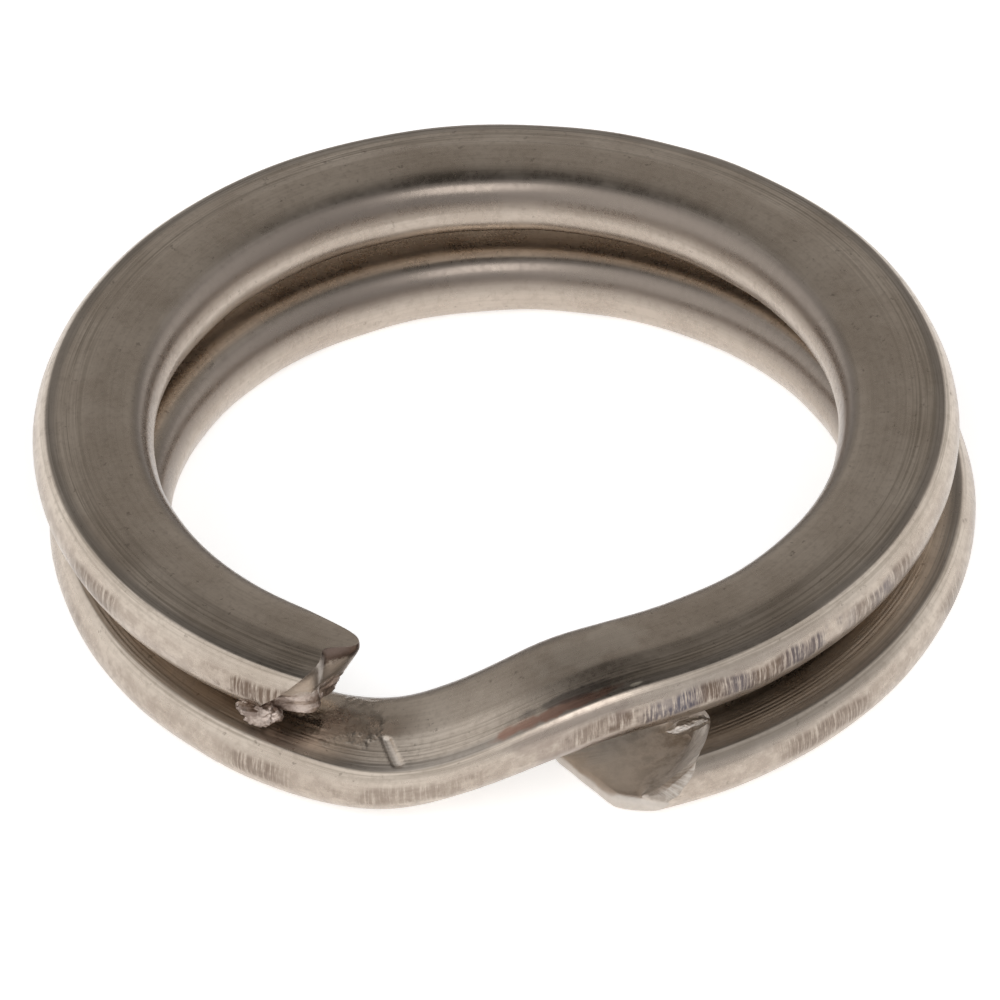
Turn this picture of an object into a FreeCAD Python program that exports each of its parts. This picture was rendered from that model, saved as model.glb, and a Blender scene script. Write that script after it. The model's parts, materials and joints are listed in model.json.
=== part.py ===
import FreeCAD, Part
import os
from math import asin, cos, degrees, pi, radians, sin, sqrt, tan

# Small split ring: one length of flattened spring wire wound nearly two turns.
# It lies flat on its lower coil. +Z is the ring's axis, and the crossover,
# where the wire steps from the upper coil down to the lower one, faces -Y.
# Millimetres and degrees. Azimuths are counted from +X towards +Y.

# Driving dimensions
outer_diameter = 12.0
wire_width = 1.57
wire_thickness = 0.925       # over the inner part; winding on edge thins the outer part
taper_from = 0.075           # the faces slope from here, outwards of the wire's middle
outer_edge_drop = 0.095      # to this much lower at the outer edge, on each face
inner_bulge = 0.18           # how far the rounded inner side stands out from the faces
outer_bulge = 0.17
coil_pitch = 1.105           # height from one coil to the next, so 0.18 of air
coil_shift_x = 0.185         # the lower coil lies this much to the right
coil_shift_y = -0.317        # and this much to the front
front_overhang = 0.195       # how much less the front reaches than the back

# The crossover: the outer edge steps down first, and the inner edge follows.
crossover_from = -16.0
crossover_to = -138.0
outer_edge_step = (-67.0, -117.0)
inner_edge_step = (-69.0, -130.0)
inner_spread = 0.20          # the share by which its inner half is wider at the middle
crossover_sections = 40

# The two cut ends. The shear went through the upper end at a slant and broke its corner off.
upper_end_azimuth = 247.2    # where the inner part of the top ends
upper_end_skew = 12.0        # the inner edge reaches further than the outer one
upper_end_undercut = 16.0    # the top reaches further than the bottom
inner_corner_from = -0.22    # the inner corner is cut off from here
inner_corner_slope = 1.5     # and gets shorter by this much for each millimetre inwards
broken_corner_from = 0.15    # the broken corner starts this far back on the outer crease
broken_corner_slope = 1.7    # it gets shorter by this much for each millimetre outwards
broken_corner_undercut = 1.1  # and by this much for each millimetre downwards
lower_end_azimuth = -79.7
lower_end_skew = 28.0
lower_end_corner_from = 0.36  # the outer corner is cut off from here
lower_end_corner_slope = 1.8
lower_end_scoop_length = 1.30
lower_end_scoop_radius = 1.00
lower_end_lip = 0.28         # thickness left at the end's lower lip

# How the wire is divided into lengths, each as far as the azimuth given.
upper_lengths = [
    ("upper_coil_front_right", 25.0),
    ("upper_coil_back_right", 67.0),
    ("upper_coil_back", 112.0),
    ("upper_coil_back_left", 157.0),
    ("upper_coil_left", 202.0),
    ("upper_coil_end", 250.0),
]
lower_lengths = [
    ("lower_coil_left", -180.0),
    ("lower_coil_back_left", -250.0),
    ("lower_coil_back", -295.0),
    ("lower_coil_back_right", -340.0),
    ("lower_coil_right", -385.0),
    ("lower_coil_end", -446.0),
]

# Worked out from the driving dimensions
mean_radius = (outer_diameter - wire_width) / 2
half_width = wire_width / 2
half_thickness = wire_thickness / 2
inner_face_edge = half_width - inner_bulge
outer_face_edge = half_width - outer_bulge
outer_half_thickness = half_thickness - outer_edge_drop
coil_shift = FreeCAD.Vector(coil_shift_x, coil_shift_y, -coil_pitch)
lower_centre = FreeCAD.Vector(coil_shift_x / 2, (coil_shift_y - front_overhang) / 2, half_thickness)
upper_centre = lower_centre - coil_shift
up = FreeCAD.Vector(0, 0, 1)


def outward(azimuth):
    """The horizontal direction that points away from the ring's axis."""
    return FreeCAD.Vector(cos(radians(azimuth)), sin(radians(azimuth)), 0)


def along(azimuth):
    """The horizontal direction along the wire, towards a larger azimuth."""
    return FreeCAD.Vector(-sin(radians(azimuth)), cos(radians(azimuth)), 0)


def section(middle, azimuth, roll=0.0, spread=0.0):
    """The wire's outline: faces flat on the inner part and sloping on the outer, and rounded sides."""
    across = outward(azimuth) * cos(radians(roll)) + up * sin(radians(roll))
    upward = up * cos(radians(roll)) - outward(azimuth) * sin(radians(roll))

    def at(sideways, height):
        return middle + across * sideways + upward * height

    inner_side = -half_width * (1 + spread)
    inner_edge = -inner_face_edge * (1 + spread)
    low_inner = at(inner_edge, -half_thickness)
    low_crease = at(taper_from, -half_thickness)
    low_outer = at(outer_face_edge, -outer_half_thickness)
    high_outer = at(outer_face_edge, outer_half_thickness)
    high_crease = at(taper_from, half_thickness)
    high_inner = at(inner_edge, half_thickness)
    return Part.Wire([
        Part.LineSegment(low_inner, low_crease).toShape(),
        Part.LineSegment(low_crease, low_outer).toShape(),
        Part.Arc(low_outer, at(half_width, 0), high_outer).toShape(),
        Part.LineSegment(high_outer, high_crease).toShape(),
        Part.LineSegment(high_crease, high_inner).toShape(),
        Part.Arc(high_inner, at(inner_side, 0), low_inner).toShape(),
    ])


def coil_length(centre, start, end):
    """A round stretch of one coil, from one azimuth to another."""
    face = Part.Face(section(centre + outward(start) * mean_radius, start))
    return face.revolve(centre, up, end - start)


def eased(value, span):
    """Goes smoothly from 0 at the start of a span to 1 at its end."""
    share = min(max((value - span[0]) / (span[1] - span[0]), 0.0), 1.0)
    return share ** 3 * (10 - 15 * share + 6 * share ** 2)


def crossover_section(azimuth):
    """The outline at one azimuth of the step from the upper coil to the lower one."""
    outer_drop = coil_pitch * eased(azimuth, outer_edge_step)
    inner_drop = coil_pitch * eased(azimuth, inner_edge_step)
    share = (outer_drop + inner_drop) / 2 / coil_pitch
    roll = -degrees(asin((outer_drop - inner_drop) / (inner_face_edge + outer_face_edge)))
    turned = (azimuth - crossover_from) / (crossover_to - crossover_from)
    spread = inner_spread * sin(turned * pi) ** 2
    centre = upper_centre + (lower_centre - upper_centre) * share
    return section(centre + outward(azimuth) * mean_radius, azimuth, roll, spread)


def crossover():
    """The S-shaped step, lofted through sections spaced evenly along it."""
    turn = (crossover_to - crossover_from) / (crossover_sections - 1)
    outlines = [crossover_section(crossover_from + turn * i) for i in range(crossover_sections)]
    return Part.makeLoft(outlines, True, False)


def beyond(point, facing, size=6.0):
    """A block that holds everything past a plane through a point."""
    block = Part.makeBox(size, size, size, FreeCAD.Vector(-size / 2, -size / 2, 0))
    block.Placement = FreeCAD.Placement(point, FreeCAD.Rotation(up, facing))
    return block


def with_upper_cut(length):
    """Shears the upper end: skewed in plan and undercut, with its two corners gone."""
    top = upper_centre + outward(upper_end_azimuth) * mean_radius + up * half_thickness
    forward = along(upper_end_azimuth)
    sideways = outward(upper_end_azimuth)
    facing = along(upper_end_azimuth - upper_end_skew) * cos(radians(upper_end_undercut))
    facing = facing - up * sin(radians(upper_end_undercut))
    length = length.cut(beyond(top, facing))
    inner_corner = top + sideways * inner_corner_from
    length = length.cut(beyond(inner_corner, forward - sideways * inner_corner_slope))
    outer_crease = top + sideways * outer_face_edge - up * outer_edge_drop
    broken_corner = outer_crease - forward * broken_corner_from
    broken_facing = forward + sideways * broken_corner_slope - up * broken_corner_undercut
    return length.cut(beyond(broken_corner, broken_facing))


def with_lower_cut(length):
    """Shears the lower end: a scooped slope that leaves a blunt lip at the bottom."""
    sideways = outward(lower_end_azimuth)
    backward = along(lower_end_azimuth)
    lip = lower_centre + sideways * mean_radius - up * half_thickness
    forward = along(lower_end_azimuth + lower_end_skew) * -1
    edge_line = forward.cross(up)
    length = length.cut(beyond(lip, forward))
    corner_back = lower_end_corner_from * tan(radians(lower_end_skew))
    corner = lip + sideways * lower_end_corner_from + backward * corner_back
    length = length.cut(beyond(corner, sideways * lower_end_corner_slope - backward))
    # The scoop is a cylinder through the lip's top and the slope's top.
    slope_low = lip + up * lower_end_lip
    slope_high = lip + up * wire_thickness - forward * lower_end_scoop_length
    half_chord = (slope_high - slope_low).Length / 2
    away = (slope_low - slope_high).cross(edge_line)
    away = away if away.z > 0 else away * -1
    away.normalize()
    axis_offset = sqrt(lower_end_scoop_radius ** 2 - half_chord ** 2)
    axis_point = (slope_low + slope_high) * 0.5 + away * axis_offset - edge_line * wire_width * 2
    scoop = Part.makeCylinder(lower_end_scoop_radius, wire_width * 4, axis_point, edge_line)
    return length.cut(scoop)


os.makedirs("parts", exist_ok=True)
lengths = {"crossover": crossover()}
start = crossover_from
for name, end in upper_lengths:
    lengths[name] = coil_length(upper_centre, start, end)
    start = end
start = crossover_to
for name, end in lower_lengths:
    lengths[name] = coil_length(lower_centre, start, end)
    start = end
lengths["upper_coil_end"] = with_upper_cut(lengths["upper_coil_end"])
lengths["lower_coil_end"] = with_lower_cut(lengths["lower_coil_end"])

for name, shape in lengths.items():
    solid = shape.Solids[0]
    print(name, "valid", solid.isValid(), "volume", round(solid.Volume, 4), "solids", len(shape.Solids))
    solid.exportStep("parts/" + name + ".step")
whole = Part.Compound(list(lengths.values())).optimalBoundingBox(False)
print("box x", round(whole.XMin, 4), round(whole.XMax, 4))
print("box y", round(whole.YMin, 4), round(whole.YMax, 4))
print("box z", round(whole.ZMin, 4), round(whole.ZMax, 4))
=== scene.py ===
import json
from math import asin, atan2, cos, degrees, floor, pi, radians, sin, tan

import bmesh
import bpy
from mathutils import Matrix, Vector, noise


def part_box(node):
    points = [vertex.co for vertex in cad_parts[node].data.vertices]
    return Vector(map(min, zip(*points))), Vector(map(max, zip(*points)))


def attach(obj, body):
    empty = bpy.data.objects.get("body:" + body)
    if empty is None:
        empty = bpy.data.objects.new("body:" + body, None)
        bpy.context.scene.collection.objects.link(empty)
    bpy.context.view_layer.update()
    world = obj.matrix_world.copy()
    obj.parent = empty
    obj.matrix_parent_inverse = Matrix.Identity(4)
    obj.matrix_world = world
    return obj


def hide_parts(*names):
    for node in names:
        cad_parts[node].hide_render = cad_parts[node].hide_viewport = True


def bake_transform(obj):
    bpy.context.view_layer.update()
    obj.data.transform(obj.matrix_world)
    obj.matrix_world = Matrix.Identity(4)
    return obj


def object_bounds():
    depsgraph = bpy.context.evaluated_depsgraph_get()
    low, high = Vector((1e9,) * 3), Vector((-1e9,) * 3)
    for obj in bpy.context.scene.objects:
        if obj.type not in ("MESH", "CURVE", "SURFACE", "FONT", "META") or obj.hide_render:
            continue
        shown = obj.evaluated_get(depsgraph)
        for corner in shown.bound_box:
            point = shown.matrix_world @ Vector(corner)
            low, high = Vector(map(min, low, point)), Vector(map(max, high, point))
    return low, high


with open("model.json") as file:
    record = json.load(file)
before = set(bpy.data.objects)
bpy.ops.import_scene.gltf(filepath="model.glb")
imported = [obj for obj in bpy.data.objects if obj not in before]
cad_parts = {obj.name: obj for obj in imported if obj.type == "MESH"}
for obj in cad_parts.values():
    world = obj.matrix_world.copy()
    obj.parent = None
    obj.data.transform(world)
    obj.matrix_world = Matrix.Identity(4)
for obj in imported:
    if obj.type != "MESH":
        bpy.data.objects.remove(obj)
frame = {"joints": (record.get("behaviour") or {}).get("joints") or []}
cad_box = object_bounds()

# The split ring is one flattened wire, wound nearly two turns. Azimuths are in degrees, counted
# from +X towards +Y, and they fall all the way along the wire: from the upper cut end, round the
# upper coil, down the crossover at the front, and round the lower coil to the lower cut end.
# Lengths are in metres.

mm = 0.001
up = Vector((0, 0, 1))

# The wire's section, as in the CAD model
wire_width = 1.57 * mm
taper_from = 0.075 * mm         # the faces slope from here, outwards of the wire's middle
outer_edge_drop = 0.095 * mm
inner_bulge = 0.18 * mm         # how far the rounded sides stand out from the faces
outer_bulge = 0.17 * mm

# Its wear
groove_from = 0.16 * mm         # drawn grooves run along the outer part of the top face
groove_spacing = 0.05 * mm
groove_depth = 0.0035 * mm
waviness = 0.012 * mm           # gentle unevenness of the whole surface
waviness_size = 0.9 * mm
nick_azimuth = -108.9           # a slanting nick across the outer part of the crossover's top
nick_slant = 7.3 / mm           # degrees for each metre outwards
nick_half_turn = 0.45           # degrees
nick_depth = 0.03 * mm
nick_from = 0.06 * mm
nick_to = 0.56 * mm
nick_fade = 0.08 * mm           # how fast it grows shallow at each end

# The crossover, as in the CAD model
crossover_from = -16.0
crossover_to = -138.0
outer_edge_step = (-67.0, -117.0)
inner_edge_step = (-69.0, -130.0)
inner_spread = 0.20             # the share by which its inner half is wider at the middle

# The cut ends
upper_end_azimuth = 244.9
nose_from = 0.12 * mm           # the upper end's nose grows inwards from here
nose_length = 0.37 * mm
broken_corner_length = 0.85 * mm
lower_end_azimuth = -439.7
lower_end_skew = 28.0           # degrees between the cut and the wire's own cross direction
lower_end_lip = 0.27 * mm       # the height of the blunt lip under the scoop
scoop_floor_rise = 0.09 * mm

# How finely the wire is meshed
ring_step = 0.5                 # degrees between rings of points
crossover_ring_step = 0.35
end_rings = 70
cut_face_rings = 56

# How often the section's corners are eased, which sets how round they are
easing_turns = 4
upper_inner_easing_turns = 56
lower_inner_easing_turns = 10


# ---------------------------------------------------------------- the wire's shape

def coil_from(leftmost, rightmost, rearmost):
    """The centre of a coil, at half its thickness, and its outer radius, from its CAD lengths."""
    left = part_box(leftmost)[0].x
    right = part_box(rightmost)[1].x
    low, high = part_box(rearmost)
    radius = (right - left) / 2
    return Vector(((left + right) / 2, high.y - radius, (low.z + high.z) / 2)), radius


upper_centre = coil_from("upper_coil_left", "upper_coil_front_right", "upper_coil_back")[0]
lower_centre, outer_radius = coil_from("lower_coil_left", "lower_coil_right", "lower_coil_back")
thin_low, thin_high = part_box("upper_coil_left")
wire_thickness = thin_high.z - thin_low.z
coil_pitch = upper_centre.z - lower_centre.z
mean_radius = outer_radius - wire_width / 2
half_width = wire_width / 2
half_thickness = wire_thickness / 2
inner_face_edge = half_width - inner_bulge
outer_face_edge = half_width - outer_bulge
outer_half_thickness = half_thickness - outer_edge_drop


def outward(azimuth):
    """The horizontal direction that points away from the ring's axis."""
    return Vector((cos(radians(azimuth)), sin(radians(azimuth)), 0))


def eased(share):
    """Goes smoothly from 0 to 1 as share does."""
    share = min(max(share, 0.0), 1.0)
    return share ** 3 * (10 - 15 * share + 6 * share ** 2)


def step_share(azimuth, span):
    """How far a step has gone from the start of its span of azimuths to the end."""
    return eased((azimuth - span[0]) / (span[1] - span[0]))


def along_wire(azimuth):
    """The length of wire from azimuth 0 on the upper coil, growing towards the lower coil."""
    return -radians(azimuth) * mean_radius


def rough(point, size, seed=0.0):
    """Smooth noise between about -1 and 1, with features of the given size."""
    return noise.noise(Vector(point) / size + Vector((seed, seed * 0.7, -seed)))


def worn(azimuth, across, level):
    """The real surface's small departures from the plain section: grooves, waviness, the nick."""
    place = along_wire(azimuth)
    on_top = eased((level - half_thickness * 0.6) / (half_thickness * 0.15))
    band = eased((across - groove_from) / groove_spacing) * eased((half_width - across) / outer_bulge)
    strength = 0.5 + 1.1 * rough((place, across * 9, 0), 1.2 * mm, 3.1)
    wave = 0.5 - 0.5 * cos(2 * pi * (across - groove_from) / groove_spacing)
    nick = eased(1.6 - abs(azimuth - nick_azimuth - nick_slant * across) / nick_half_turn)
    nick *= eased((across - nick_from) / nick_fade) * eased((nick_to - across) / nick_fade)
    level = level - on_top * (band * wave * groove_depth * strength + nick * nick_depth)
    swell = waviness * rough((place, across, level), waviness_size, 7.7)
    return across + swell * across / half_width, level + swell * 0.6 * level / half_thickness


def wire_point(azimuth, across, level):
    """A point of the wire: across from its middle, outwards, and level up from its middle."""
    outer_drop = coil_pitch * step_share(azimuth, outer_edge_step)
    inner_drop = coil_pitch * step_share(azimuth, inner_edge_step)
    share = (outer_drop + inner_drop) / 2 / coil_pitch
    roll = -asin((outer_drop - inner_drop) / (inner_face_edge + outer_face_edge))
    turned = (azimuth - crossover_from) / (crossover_to - crossover_from)
    if 0 < turned < 1 and across < 0:
        across = across * (1 + inner_spread * sin(turned * pi) ** 2)
    centre = upper_centre.lerp(lower_centre, share)
    sideways = across * cos(roll) - level * sin(roll)
    height = across * sin(roll) + level * cos(roll)
    return centre + outward(azimuth) * (mean_radius + sideways) + up * height


def section_outline():
    """Points round the wire's section, as (across, level). Its upper inner crease is eased the most."""

    def line(start, end, count):
        steps = [i / count for i in range(count)]
        return [(start[0] + (end[0] - start[0]) * t, start[1] + (end[1] - start[1]) * t) for t in steps]

    def side(sign, height, bulge, count):
        radius = (height ** 2 + bulge ** 2) / (2 * bulge)
        centre = half_width - radius
        turn = asin(height / radius) * sign
        angles = [turn - 2 * turn * i / count for i in range(count)]
        return [(sign * (centre + radius * cos(a)), radius * sin(a)) for a in angles]

    inner_high = (-inner_face_edge, half_thickness)
    taper_high = (taper_from, half_thickness)
    outer_high = (outer_face_edge, outer_half_thickness)
    points = line(inner_high, taper_high, 18) + line(taper_high, outer_high, 40)
    points += side(1, outer_half_thickness, outer_bulge, 26)
    points += line((outer_face_edge, -outer_half_thickness), (taper_from, -half_thickness), 12)
    points += line((taper_from, -half_thickness), (-inner_face_edge, -half_thickness), 12)
    points += side(-1, half_thickness, inner_bulge, 26)
    for turn in range(upper_inner_easing_turns):
        eased_points = []
        for before, here, after in zip(points[-1:] + points[:-1], points, points[1:] + points[:1]):
            turns = easing_turns
            if here[0] < -0.15 * mm:
                turns = upper_inner_easing_turns if here[1] > 0 else lower_inner_easing_turns
            if turn < turns:
                here = tuple((before[k] + 2 * here[k] + after[k]) / 4 for k in (0, 1))
            eased_points.append(here)
        points = eased_points
    # The easing drew the inner side in a little, so it is stretched back to the wire's full width
    stretch = -half_width / min(across for across, level in points)
    return [(across * stretch if across < 0 else across, level) for across, level in points]


outline = section_outline()


# ---------------------------------------------------------------- meshes

def new_piece(name, points, places, faces, sharp_edges=()):
    """A mesh object. Each point keeps its place on the wire, (along, across, level) in millimetres,
    and whether it lies on a cut face."""
    mesh = bpy.data.meshes.new(name)
    mesh.from_pydata([tuple(p) for p in points], [], faces)
    outside = bmesh.new()
    outside.from_mesh(mesh)
    bmesh.ops.recalc_face_normals(outside, faces=outside.faces)
    outside.to_mesh(mesh)
    outside.free()
    mesh.attributes.new("wire_place", "FLOAT_VECTOR", "POINT")
    flat_places = [value / mm for place in places for value in place[:3]]
    mesh.attributes["wire_place"].data.foreach_set("vector", flat_places)
    mesh.attributes.new("cut_face", "FLOAT", "POINT")
    mesh.attributes["cut_face"].data.foreach_set("value", [place[3] for place in places])
    mesh.shade_smooth()
    sharp = {tuple(sorted(edge)) for edge in sharp_edges}
    for edge in mesh.edges:
        if tuple(sorted(edge.vertices)) in sharp:
            edge.use_edge_sharp = True
    mesh.update()
    piece = bpy.data.objects.new(name, mesh)
    bpy.context.scene.collection.objects.link(piece)
    piece.data.materials.append(steel)
    return piece


def ring_places(azimuths):
    """The places of one ring of points, given the azimuth of each point of the outline."""
    places = []
    for azimuth, (across, level) in zip(azimuths, outline):
        worn_across, worn_level = worn(azimuth, across, level)
        places.append((azimuth, worn_across, worn_level))
    return places


def tube(name, rings, cut_rings=()):
    """A closed piece of wire from rings of places. cut_rings carry on over a cut face at its end."""
    count = len(outline)
    points = []
    places = []
    for kind, group in ((0.0, rings), (1.0, cut_rings)):
        for ring in group:
            for azimuth, across, level in ring:
                points.append(wire_point(azimuth, across, level))
                places.append((along_wire(azimuth), across, level, kind))
    faces = []
    for row in range(len(rings) + len(cut_rings) - 1):
        for i in range(count):
            a = row * count + i
            b = row * count + (i + 1) % count
            faces.append((a, b, b + count, a + count))
    last = (len(rings) + len(cut_rings) - 1) * count
    faces.append(tuple(range(count - 1, -1, -1)))
    faces.append(tuple(range(last, last + count)))
    sharp = [(i, (i + 1) % count) for i in range(count)]
    if not cut_rings:
        sharp += [(last + i, last + (i + 1) % count) for i in range(count)]
    return new_piece(name, points, places, faces, sharp)


def length_of_wire(name, start, end, step=ring_step):
    """A stretch of plain wire between two azimuths, with a flat face at each end."""
    count = max(2, round(abs(end - start) / step))
    azimuths = [start + (end - start) * i / count for i in range(count + 1)]
    return tube(name, [ring_places([azimuth] * len(outline)) for azimuth in azimuths])


def end_of_wire(name, start, end_azimuth, reach):
    """A stretch that ends in a cut. reach says how far past end_azimuth each place goes, in metres."""

    def cut_azimuth(across, level):
        forward = -1 if end_azimuth < start else 1
        return end_azimuth + forward * degrees(reach(across, level) / (mean_radius + across))

    ends = [cut_azimuth(across, level) for across, level in outline]
    rings = []
    for i in range(end_rings + 1):
        share = 1 - (1 - i / end_rings) ** 1.6
        rings.append(ring_places([start + (end - start) * share for end in ends]))
    cut_rings = []
    for k in range(1, cut_face_rings):
        scale = 1 - (k / cut_face_rings) ** 1.25
        ring = []
        for azimuth, across, level in rings[-1]:
            ring.append((cut_azimuth(across * scale, level * scale), across * scale, level * scale))
        cut_rings.append(ring)
    return tube(name, rings, cut_rings)


def upper_cut(across, level):
    """The upper end: a nose at the inner part of its top, a broken outer corner, a torn lip."""
    depth = (half_thickness - level) / wire_thickness       # 0 at the top face, 1 at the bottom face
    inward = nose_from - across
    nose = eased((inward + 0.25 * mm * depth) / ((0.32 + 0.60 * depth) * mm))
    reach = nose_length * nose * (1 - 0.60 * depth - 0.35 * depth ** 2)
    inner_corner = max(0.0, inward - 0.32 * mm) / (0.30 * mm)
    reach -= 0.55 * mm * inner_corner ** 2 * (1 - 0.4 * depth)
    reach -= broken_corner_length * depth * eased((across - 0.22 * mm) / (0.50 * mm))
    reach -= 0.10 * mm * depth
    roll_over = max(0.0, (level - half_thickness + 0.16 * mm) / (0.16 * mm))
    reach -= 0.05 * mm * roll_over ** 2 * eased((0.35 * mm - across) / (0.3 * mm))
    spot = (across, level, 0)
    torn = eased((depth - 0.45) / 0.3)
    reach += torn * (0.07 * mm * rough(spot, 0.28 * mm, 1.3) + 0.045 * mm * rough(spot, 0.1 * mm, 4.2))
    lip = eased((depth - 0.74) / 0.2) * eased((across - 0.15 * mm) / (0.35 * mm))
    return reach + lip * (0.10 * mm + 0.09 * mm * rough(spot, 0.17 * mm, 8.8))


def lower_cut(across, level):
    """The lower end: a bowl scooped out behind a blunt lip, which turns round the outer corner."""
    height = level + half_thickness
    reach = -tan(radians(lower_end_skew)) * across
    # The outer corner is cut back, most at the bottom, and the lip's two edges are rounded
    corner = max(0.0, across - 0.30 * mm) / (0.40 * mm)
    low = min(max((0.05 * mm - level) / (0.42 * mm), 0.0), 1.0)
    reach -= corner ** 1.5 * (0.10 + 0.40 * low) * mm
    edge = abs(height - lower_end_lip * 0.5) / (lower_end_lip * 0.5)
    reach -= 0.09 * mm * min(edge, 1.0) ** 2.5
    # Above the lip the scoop's floor rises slowly, and its wall curls up to the top face
    above_lip = height - lower_end_lip
    wall_height = wire_thickness - lower_end_lip - scoop_floor_rise
    floor_rise = min(max(above_lip / scoop_floor_rise, 0.0), 1.0)
    wall_rise = max(0.0, (above_lip - scoop_floor_rise) / wall_height)
    floor_length = min(1.78 * max(0.0, 0.54 - across / mm) ** 0.8, 1.40) * mm
    outer = min(max((across + 0.10 * mm) / (0.75 * mm), 0.0), 1.0)
    wall_length = (1.48 - 0.63 * outer ** 2) * mm - floor_length
    dent = 0.02 * mm * rough((across, level, 0), 0.3 * mm, 2.9)
    return reach - floor_length * floor_rise ** 0.7 - wall_length * wall_rise ** 0.6 + dent


# ---------------------------------------------------------------- the steel

class Nodes:
    """Short names for making and joining the nodes of one tree."""

    def __init__(self, tree):
        self.tree = tree

    def make(self, kind, inputs=(), **settings):
        node = self.tree.nodes.new("ShaderNode" + kind)
        for name, value in settings.items():
            setattr(node, name, value)
        for socket, value in dict(inputs).items():
            self.put(node.inputs[socket], value)
        return node

    def put(self, socket, value):
        if isinstance(value, bpy.types.NodeSocket):
            self.tree.links.new(value, socket)
        else:
            socket.default_value = value

    def maths(self, operation, *values):
        return self.make("Math", dict(enumerate(values)), operation=operation).outputs[0]

    def product(self, *values):
        result = values[0]
        for value in values[1:]:
            result = self.maths("MULTIPLY", result, value)
        return result

    def total(self, *values):
        result = values[0]
        for value in values[1:]:
            result = self.maths("ADD", result, value)
        return result

    def ramp(self, value, low, high, to_low=0.0, to_high=1.0):
        """A smooth step of value from low to high."""
        inputs = {"Value": value, "From Min": low, "From Max": high, "To Min": to_low, "To Max": to_high}
        return self.make("MapRange", inputs, interpolation_type="SMOOTHSTEP").outputs["Result"]

    def noise(self, vector, scale, detail=2.0, roughness=0.5):
        inputs = {"Vector": vector, "Scale": scale, "Detail": detail, "Roughness": roughness}
        return self.make("TexNoise", inputs).outputs["Fac"]

    def vector(self, x, y, z):
        return self.make("CombineXYZ", {0: x, 1: y, 2: z}).outputs[0]

    def mix(self, share, first, second):
        node = self.make("Mix", data_type="RGBA")
        self.put(node.inputs[0], share)
        self.put(node.inputs[6], first)
        self.put(node.inputs[7], second)
        return node.outputs[2]

    def layer(self, tone, over, *shares):
        """Lays one colour over another by the product of the shares."""
        return self.mix(self.product(*shares), tone, over)


class SteelNodes(Nodes):
    """The steel's nodes, with what its patterns share. The place on the wire is in millimetres."""

    def __init__(self, tree):
        super().__init__(tree)
        self.place = self.make("Attribute", attribute_name="wire_place").outputs["Vector"]
        self.along, self.across, self.level = self.make("SeparateXYZ", {0: self.place}).outputs
        self.cut = self.make("Attribute", attribute_name="cut_face").outputs["Fac"]
        self.plain = self.maths("SUBTRACT", 1.0, self.cut)
        self.outer_side = self.ramp(self.across, 0.64, 0.70)
        self.at_upper_end = self.ramp(self.along, 0.0, -1.0)
        self.at_lower_end = self.ramp(self.along, 0.0, 1.0)
        self.mottle = self.noise(self.place, 0.9, 6.0, 0.62)
        self.grain = self.noise(self.place, 11.0, 5.0, 0.65)
        self.torn = self.noise(self.place, 5.0, 5.0, 0.7)
        self.smear = self.noise(self.place, 2.6, 5.0, 0.6)
        self.ragged_level = self.total(self.level, self.ramp(self.torn, 0.3, 0.7, -0.06, 0.06))

    def drift(self, scale):
        """Slow noise that changes only along the wire."""
        return self.noise(self.vector(self.along, 0.0, 0.0), scale, 1.0)

    def patch(self, azimuth, half_turn, at_across, half_across):
        """1 inside an oval patch of the wire, and fading to 0 round it. Degrees and millimetres."""
        half_length = radians(half_turn) * mean_radius / mm
        from_middle = self.maths("SUBTRACT", self.along, along_wire(azimuth) / mm)
        x = self.maths("DIVIDE", from_middle, half_length)
        y = self.maths("DIVIDE", self.maths("SUBTRACT", self.across, at_across), half_across)
        distance = self.maths("SQRT", self.total(self.product(x, x), self.product(y, y)))
        ragged = self.total(distance, self.ramp(self.noise(self.place, 3.5, 3.0), 0.3, 0.7, -0.35, 0.35))
        return self.product(self.ramp(ragged, 1.15, 0.55), self.plain)


def colour(red, green, blue):
    return (red, green, blue, 1.0)


def drawn_lines(n):
    """Fine lines left by the drawing die, and how strong they are: most on the top's outer part."""
    stretched = n.vector(n.product(n.along, 0.35), n.product(n.across, 26.0), n.product(n.level, 26.0))
    band = n.product(n.ramp(n.across, 0.02, 0.30), n.ramp(n.level, 0.26, 0.34), 0.75)
    return n.noise(stretched, 1.0, 4.0, 0.65), n.product(n.total(band, 0.25), n.plain)


def chatter_marks(n):
    """Short marks across the wire, in a narrow wandering band half way up its outer side."""
    wander = n.ramp(n.drift(1.1), 0.3, 0.7, -0.07, 0.03)
    band = n.ramp(n.maths("ABSOLUTE", n.total(n.level, wander)), 0.19, 0.10)
    stripes = n.vector(n.product(n.along, 21.0), n.product(n.level, 1.4), 0.0)
    dashes = n.ramp(n.noise(stripes, 1.0, 4.0, 0.75), 0.36, 0.56)
    amount = n.total(n.ramp(n.drift(0.5), 0.50, 0.62, 0.0, 0.7), n.patch(-61, 17, 0.78, 0.5),
                     n.patch(238, 6, 0.78, 0.5), n.product(n.patch(-104, 9, 0.78, 0.5), 0.4))
    return n.product(band, n.outer_side, dashes, n.plain, n.maths("MINIMUM", amount, 1.0))


def burnt_tone(n):
    """The chatter's colour: brown, and in places blue along one stretch of the front."""
    stretch = n.product(n.ramp(n.along, 7.2, 6.2), n.ramp(n.along, 2.0, 3.0))
    blue = n.product(n.ramp(n.drift(0.9), 0.42, 0.58), stretch)
    return n.mix(blue, colour(0.115, 0.075, 0.052), colour(0.065, 0.062, 0.09))


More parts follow.
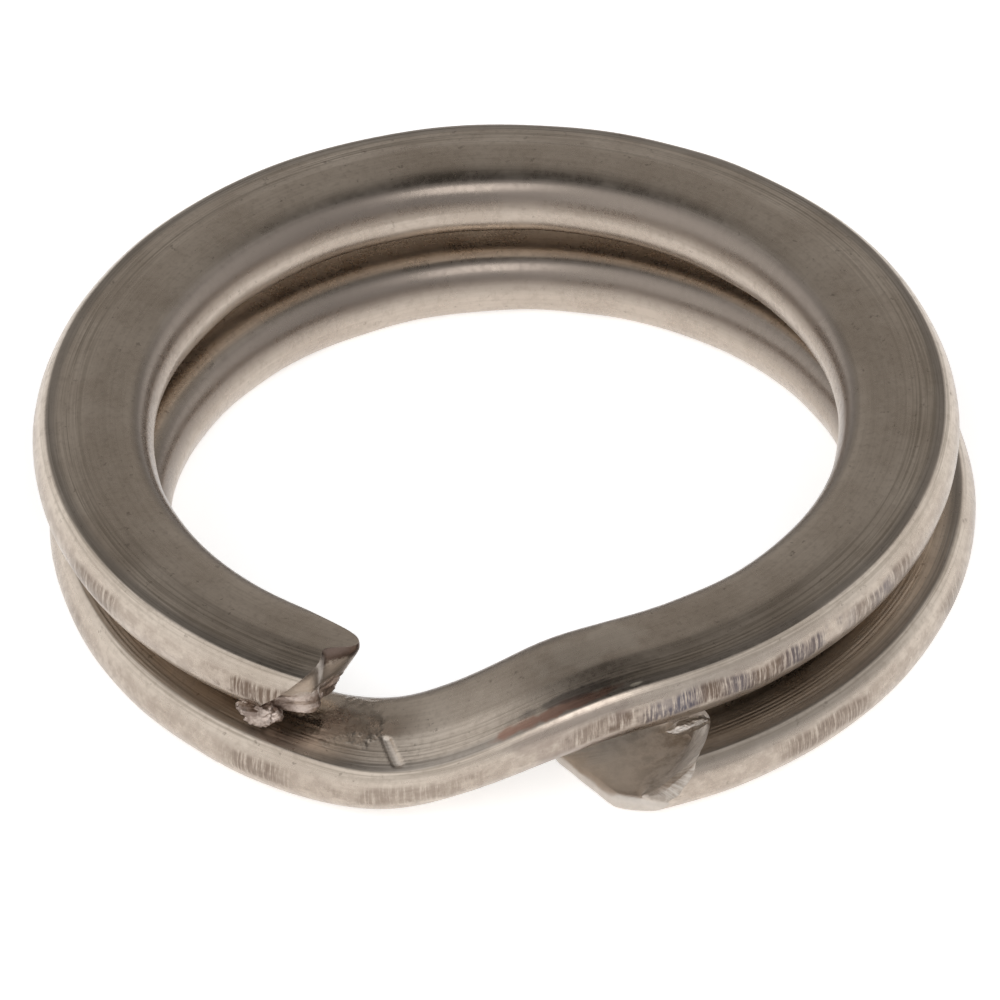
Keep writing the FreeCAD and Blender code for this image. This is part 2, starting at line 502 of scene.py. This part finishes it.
def nick_floor(n):
    """1 on the bright floor of the nick."""
    slant = n.product(n.across, radians(nick_slant * mm) * mean_radius / mm)
    from_nick = n.maths("SUBTRACT", n.total(n.along, slant), along_wire(nick_azimuth) / mm)
    inner_part = n.ramp(n.across, nick_from / mm, (nick_from + nick_fade) / mm)
    outer_part = n.ramp(n.across, nick_to / mm, (nick_to - nick_fade) / mm)
    nick = n.ramp(n.maths("ABSOLUTE", from_nick), 0.06, 0.035)
    return n.product(nick, inner_part, outer_part, n.ramp(n.level, 0.2, 0.3))


def scoop_striae(n):
    """Striae that fan out over the wall of the lower end's scoop, and 1 where that wall is."""
    behind_scoop = n.maths("SUBTRACT", along_wire(-437) / mm, n.along)
    swing = n.maths("ARCTAN2", n.total(n.across, 0.25), behind_scoop)
    fan = n.vector(n.product(swing, 55.0), n.product(n.level, 2.5), 0.0)
    return n.noise(fan, 1.0, 3.0, 0.7), n.product(n.cut, n.ramp(n.level, -0.10, -0.06), n.at_lower_end)


def bare_tone(n, lines, line_strength):
    """Mottled and grainy, dark in the drawn lines and in small specks."""
    tone = n.mix(n.ramp(n.mottle, 0.30, 0.70), colour(0.50, 0.425, 0.355), colour(0.63, 0.55, 0.47))
    tone = n.layer(tone, colour(0.36, 0.30, 0.245), n.ramp(n.grain, 0.45, 0.72, 0.0, 0.40))
    tone = n.layer(tone, colour(0.25, 0.21, 0.165), line_strength, n.ramp(lines, 0.45, 0.62, 0.0, 0.55))
    specks = n.ramp(n.noise(n.place, 8.0, 3.0, 0.7), 0.63, 0.72)
    return n.layer(tone, colour(0.16, 0.13, 0.105), specks, 0.5)


def shaded_tone(n, tone):
    """Painted shade along the upper inner edge, down the inner side and in the crease of the top's outer
    edge; the outer side is darker in patches below its top, and the lower coil's top has painted shade
    where the upper coil covers it.
    """
    # Painted shade: a dark band along the upper inner edge, and a darker inner side
    inner_edge = n.product(n.ramp(n.across, -0.45, -0.60), n.ramp(n.level, -0.05, 0.25))
    tone = n.layer(tone, colour(0.155, 0.13, 0.112), inner_edge, n.plain, 0.9)
    tone = n.layer(tone, colour(0.40, 0.335, 0.285), n.ramp(n.across, -0.55, -0.68), n.plain, 0.35)
    # Painted shade in the crease of the top's outer edge
    crease = n.product(n.ramp(n.across, 0.42, 0.54), n.ramp(n.across, 0.63, 0.58))
    tone = n.layer(tone, colour(0.24, 0.22, 0.205), crease, n.ramp(n.level, 0.20, 0.30), n.plain, 0.5)
    flank = n.product(n.outer_side, n.ramp(n.level, 0.28, 0.14), n.ramp(n.torn, 0.36, 0.62, 0.15, 0.75))
    tone = n.layer(tone, colour(0.37, 0.305, 0.255), flank, n.plain)
    # Painted shade on the lower coil's top, where the upper coil covers it near the lower end
    near_end = n.ramp(n.along, along_wire(-375) / mm, along_wire(-405) / mm)
    covered_shade = n.product(near_end, n.ramp(n.level, 0.22, 0.30))
    return n.layer(tone, colour(0.17, 0.145, 0.12), covered_shade, n.plain, 0.55)


def crossover_tone(n, tone):
    """A lighter patch of painted highlight, and outside it a heat tint, reddish and grey, with one
    painted glint and a brown band of painted shade along the outer crease.
    """
    # Painted highlight: a lighter oval on a facet of the crossover
    tone = n.layer(tone, colour(0.70, 0.63, 0.55), n.patch(-77, 9, -0.25, 0.28), 0.4)
    tone = n.layer(tone, colour(0.33, 0.155, 0.105), n.patch(-84.5, 8, 0.50, 0.09), 0.65)
    tone = n.layer(tone, colour(0.12, 0.105, 0.10), n.patch(-80, 8, 0.37, 0.08), 0.6)
    # Painted glint: one small bright spot
    tone = n.layer(tone, colour(0.85, 0.78, 0.66), n.patch(-73, 0.9, 0.55, 0.03))
    # Painted shade: a brown band that darkens the bright crease at the outer edge
    return n.layer(tone, colour(0.27, 0.215, 0.185), n.patch(-82, 10, 0.70, 0.08), 0.5)


def cut_tone(n, ripped):
    """The upper end has painted shade in the hollow at the inner part of its top, then is smooth,
    then torn and reddish. The lower end has a bright blunt lip."""
    tone = n.mix(n.ramp(n.torn, 0.38, 0.62), colour(0.36, 0.31, 0.265), colour(0.53, 0.47, 0.415))
    smooth = n.product(n.ramp(n.ragged_level, -0.14, -0.06), n.at_upper_end)
    tone = n.layer(tone, colour(0.58, 0.52, 0.465), smooth, 0.8)
    blotches = n.ramp(n.noise(n.place, 3.2, 4.0, 0.7), 0.40, 0.60)
    reddish = n.mix(blotches, colour(0.21, 0.155, 0.13), colour(0.55, 0.455, 0.40))
    tone = n.layer(tone, reddish, ripped, 0.85)
    # Painted shade in the hollow at the top of the upper end's cut face, on its inner part
    hollow_shade = n.product(n.ramp(n.ragged_level, 0.17, 0.27), n.ramp(n.across, 0.30, 0.05))
    tone = n.layer(tone, colour(0.085, 0.05, 0.038), hollow_shade, n.at_upper_end, 0.88)
    return n.layer(tone, colour(0.60, 0.55, 0.50), n.ramp(n.level, -0.12, -0.19), n.at_lower_end, 0.7)


def steel_material():
    """Satin spring steel: drawn lines, mottling, specks, tool chatter, heat tint and torn ends."""
    material = bpy.data.materials.new("satin_spring_steel")
    material.use_nodes = True
    material.node_tree.nodes.clear()
    n = SteelNodes(material.node_tree)
    lines, line_strength = drawn_lines(n)
    striae, scoop_wall = scoop_striae(n)
    chatter = chatter_marks(n)
    nick = nick_floor(n)
    # A darker, rough smear lies on the wire under the upper end; the upper end's lower part is ripped
    smear_under_end = n.product(n.patch(-116, 6.5, -0.12, 0.42), n.ramp(n.smear, 0.35, 0.60, 0.3, 1.0))
    ripped = n.product(n.ramp(n.ragged_level, -0.08, -0.16), n.at_upper_end, n.cut)

    tone = shaded_tone(n, bare_tone(n, lines, line_strength))
    tone = n.layer(tone, burnt_tone(n), chatter, 0.85)
    tone = n.layer(tone, colour(0.17, 0.14, 0.115), smear_under_end, 0.65)
    tone = crossover_tone(n, tone)
    tone = n.layer(tone, colour(0.66, 0.60, 0.54), nick, 0.75)
    tone = n.layer(tone, cut_tone(n, ripped), n.cut)
    tone = n.layer(tone, colour(0.66, 0.62, 0.57), scoop_wall, n.ramp(striae, 0.42, 0.60, 0.0, 0.45))

    roughness = n.total(n.ramp(n.mottle, 0.3, 0.7, 0.21, 0.30), n.ramp(n.grain, 0.4, 0.7, 0.0, 0.08),
                        n.product(line_strength, 0.05), n.product(chatter, 0.12),
                        n.product(n.cut, 0.08), n.product(nick, 0.2))
    height = n.total(n.product(lines, line_strength), n.product(n.grain, 0.40),
                     n.product(chatter, -0.6), n.product(n.torn, n.cut, 3.0),
                     n.product(n.torn, ripped, 6.0), n.product(n.smear, smear_under_end, 8.0),
                     n.product(striae, scoop_wall, 2.5))
    bump = n.make("Bump", {"Height": height, "Strength": 0.5, "Distance": 0.006 * mm})
    surface = n.make("BsdfPrincipled", {"Base Color": tone, "Metallic": 1.0, "Roughness": roughness,
                                        "Normal": bump.outputs["Normal"]})
    n.make("OutputMaterial", {"Surface": surface.outputs["BSDF"]})
    return material


steel = steel_material()


# ---------------------------------------------------------------- the ring's pieces

def hinge_azimuth(joint, centre, lowest):
    """The azimuth of a joint about a coil's centre, in the turn that starts at lowest."""
    offset = Vector(joint["pos_m"]) - centre
    angle = degrees(atan2(offset.y, offset.x))
    return angle + 360 * floor((lowest + 360 - angle) / 360)


def flexing_length(joint, azimuth, cad_node):
    """A stretch of wire over one joint, between the middles of the two bodies."""
    piece = length_of_wire("wire_over_" + joint["name"], azimuth + half_span, azimuth - half_span)
    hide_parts(cad_node)
    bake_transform(piece)


def rigid(piece, body, *cad_nodes):
    """A stretch of wire that keeps its shape and moves with one body."""
    if cad_nodes:
        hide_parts(*cad_nodes)
    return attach(piece, body)


joints = {joint["name"]: joint for joint in frame["joints"]}
upper_joints = ["upper_end_lift", "upper_back_flex", "upper_left_flex", "upper_tip_flex"]
lower_joints = ["lower_end_drop", "lower_back_flex", "lower_right_flex", "lower_tip_flex"]
upper_parents = ["upper_coil_back_right", "upper_coil_back", "upper_coil_back_left", "upper_coil_left"]
lower_parents = ["lower_coil_back_left", "lower_coil_back", "lower_coil_back_right", "lower_coil_right"]
upper_hinges = [hinge_azimuth(joints[name], upper_centre, -100) for name in upper_joints]
lower_hinges = [hinge_azimuth(joints[name], lower_centre, -430) for name in lower_joints]
half_span = (upper_hinges[1] - upper_hinges[0]) / 2

for name, azimuth, node in zip(upper_joints, upper_hinges, upper_parents):
    flexing_length(joints[name], azimuth, node)
for name, azimuth, node in zip(lower_joints, lower_hinges, lower_parents):
    flexing_length(joints[name], azimuth, node)

upper_still = length_of_wire("wire_upper_right", upper_hinges[0] - half_span, crossover_from)
rigid(upper_still, "root_wire", "upper_coil_front_right")
crossover = length_of_wire("wire_crossover", crossover_from, crossover_to, crossover_ring_step)
rigid(crossover, "root_wire", "crossover")
lower_still = length_of_wire("wire_lower_front_left", crossover_to, lower_hinges[0] + half_span)
rigid(lower_still, "root_wire", "lower_coil_left")

upper_end = end_of_wire("wire_upper_end", upper_hinges[-1] + half_span, upper_end_azimuth, upper_cut)
rigid(upper_end, "upper_tip", "upper_coil_end")
lower_end = end_of_wire("wire_lower_end", lower_hinges[-1] - half_span, lower_end_azimuth, lower_cut)
rigid(lower_end, "lower_tip", "lower_coil_end")


def burr(name, centre, azimuth, across, level, size, wildness, seed):
    """A lump of torn metal: size is its half length along the wire, across it and upwards, and
    wildness says how far it departs from an egg shape."""
    middle = centre + outward(azimuth) * (mean_radius + across) + up * level
    directions = (outward(azimuth + 90), outward(azimuth), up)
    rows = 40
    columns = 64
    points = []
    for row in range(1, rows):
        tilt = pi * row / rows
        for column in range(columns):
            turn = 2 * pi * column / columns
            unit = Vector((cos(turn) * sin(tilt), sin(turn) * sin(tilt), cos(tilt)))
            swell = 0.40 * noise.noise(unit * 1.6 + Vector((seed, 0, 0)))
            swell += 0.20 * noise.noise(unit * 4.5 + Vector((0, seed, 0)))
            swell = 1 + wildness * (swell + 0.06 * noise.noise(unit * 11 + Vector((0, 0, seed))))
            offset = [unit[axis] * size[axis] * swell for axis in range(3)]
            points.append(middle + sum((directions[axis] * offset[axis] for axis in range(3)), Vector()))
    top = len(points)
    points.append(middle + up * size[2])
    points.append(middle - up * size[2])
    faces = []
    for column in range(columns):
        after = (column + 1) % columns
        faces.append((top, column, after))
        faces.append((top + 1, (rows - 2) * columns + after, (rows - 2) * columns + column))
        for row in range(rows - 2):
            a = row * columns
            faces.append((a + column, a + columns + column, a + columns + after, a + after))
    places = []
    for point in points:
        apart = point - middle
        places.append((along_wire(azimuth) + apart.x, across + apart.y, level + apart.z, 1.0))
    return new_piece(name, points, places, faces)


upper_burr = burr("burr_upper_end", upper_centre, 237.5, 0.62 * mm, -0.41 * mm,
                  (0.28 * mm, 0.20 * mm, 0.19 * mm), 1.0, 2.3)
rigid(upper_burr, "upper_tip")
lower_burr = burr("burr_lower_end", lower_centre, -425.8, 0.07 * mm, 0.42 * mm,
                  (0.28 * mm, 0.10 * mm, 0.085 * mm), 0.4, 5.1)
rigid(lower_burr, "lower_tip")


# ---------------------------------------------------------------- floor, light and camera

def studio_floor():
    """A wide pale floor just under the ring."""
    size = 1.5
    mesh = bpy.data.meshes.new("floor")
    corners = [(-size, -size, 0), (size, -size, 0), (size, size, 0), (-size, size, 0)]
    mesh.from_pydata(corners, [], [(0, 1, 2, 3)])
    floor_piece = bpy.data.objects.new("floor", mesh)
    floor_piece.location.z = cad_box[0][2] - 0.01 * mm
    bpy.context.scene.collection.objects.link(floor_piece)
    material = bpy.data.materials.new("pale_floor")
    material.use_nodes = True
    shader = material.node_tree.nodes["Principled BSDF"]
    shader.inputs["Base Color"].default_value = colour(0.93, 0.93, 0.93)
    shader.inputs["Roughness"].default_value = 0.9
    shader.inputs["Emission Color"].default_value = colour(1.0, 1.0, 1.0)
    shader.inputs["Emission Strength"].default_value = 0.52
    floor_piece.data.materials.append(material)


def soft_box(name, position, size, power):
    """A square light that faces the ring."""
    light = bpy.data.lights.new(name, "AREA")
    light.shape = "SQUARE"
    light.size = size
    light.energy = power
    lamp = bpy.data.objects.new(name, light)
    lamp.location = position
    lamp.rotation_euler = Vector(position).to_track_quat("Z", "Y").to_euler()
    bpy.context.scene.collection.objects.link(lamp)


def studio_world():
    """A white tent, darker overhead and behind the ring, and a little darker at the front right."""
    world = bpy.data.worlds.new("tent")
    bpy.context.scene.world = world
    world.use_nodes = True
    n = Nodes(world.node_tree)
    background = world.node_tree.nodes["Background"]
    direction = n.make("TexCoord").outputs["Generated"]

    def dimming(x, y, z, inner, outer):
        """1 within the inner angle of a direction, fading to 0 at the outer one."""
        middle = Vector((x, y, z)).normalized()
        toward = n.make("VectorMath", {0: direction, 1: middle}, operation="DOT_PRODUCT")
        angle = n.maths("ARCCOSINE", toward.outputs["Value"])
        return n.ramp(angle, radians(outer), radians(inner))

    behind = dimming(0, 0.77, 0.64, 26, 56)
    overhead = dimming(0, 0.17, 0.98, 14, 40)
    front_right = dimming(0.55, -0.80, 0.10, 20, 80)
    tent = n.mix(front_right, colour(1.0, 1.0, 1.0), colour(0.56, 0.56, 0.57))
    tent = n.mix(behind, tent, colour(0.31, 0.295, 0.278))
    n.put(background.inputs["Color"], n.mix(overhead, tent, colour(0.05, 0.046, 0.042)))
    background.inputs["Strength"].default_value = 1.08


studio_floor()
studio_world()
soft_box("front_light", (0.02, -0.20, 0.22), 0.15, 0.14)

camera_elevation = 40.22
camera_roll = -1.71
camera_distance = 45 * outer_radius
frame_width = 2.1555 * outer_radius      # what the picture spans at the ring
aim_right = 0.0107 * outer_radius        # the ring stands a little off the picture's middle
aim_up = -0.2082 * outer_radius
aim_back = -0.0277 * outer_radius


def studio_camera():
    """A long lens from the front, a little under half way up."""
    elevation = radians(camera_elevation)
    back = Vector((0, -cos(elevation), sin(elevation)))
    level_right = Vector((1, 0, 0))
    level_up = back.cross(level_right)
    turn = radians(camera_roll)
    right = level_right * cos(turn) + level_up * sin(turn)
    upward = level_up * cos(turn) - level_right * sin(turn)
    top_centre = upper_centre + up * half_thickness
    target = top_centre + right * aim_right + upward * aim_up + back * aim_back
    camera = bpy.data.cameras.new("camera")
    camera.sensor_width = 36
    camera.lens = camera.sensor_width * camera_distance / frame_width
    camera.clip_start = 0.01
    camera.clip_end = 10
    holder = bpy.data.objects.new("camera", camera)
    holder.matrix_world = Matrix((
        (right.x, upward.x, back.x, 0),
        (right.y, upward.y, back.y, 0),
        (right.z, upward.z, back.z, 0),
        (0, 0, 0, 1),
    ))
    holder.location = target + back * camera_distance
    bpy.context.scene.collection.objects.link(holder)
    bpy.context.scene.camera = holder


studio_camera()
bpy.context.scene.view_settings.view_transform = "Standard"
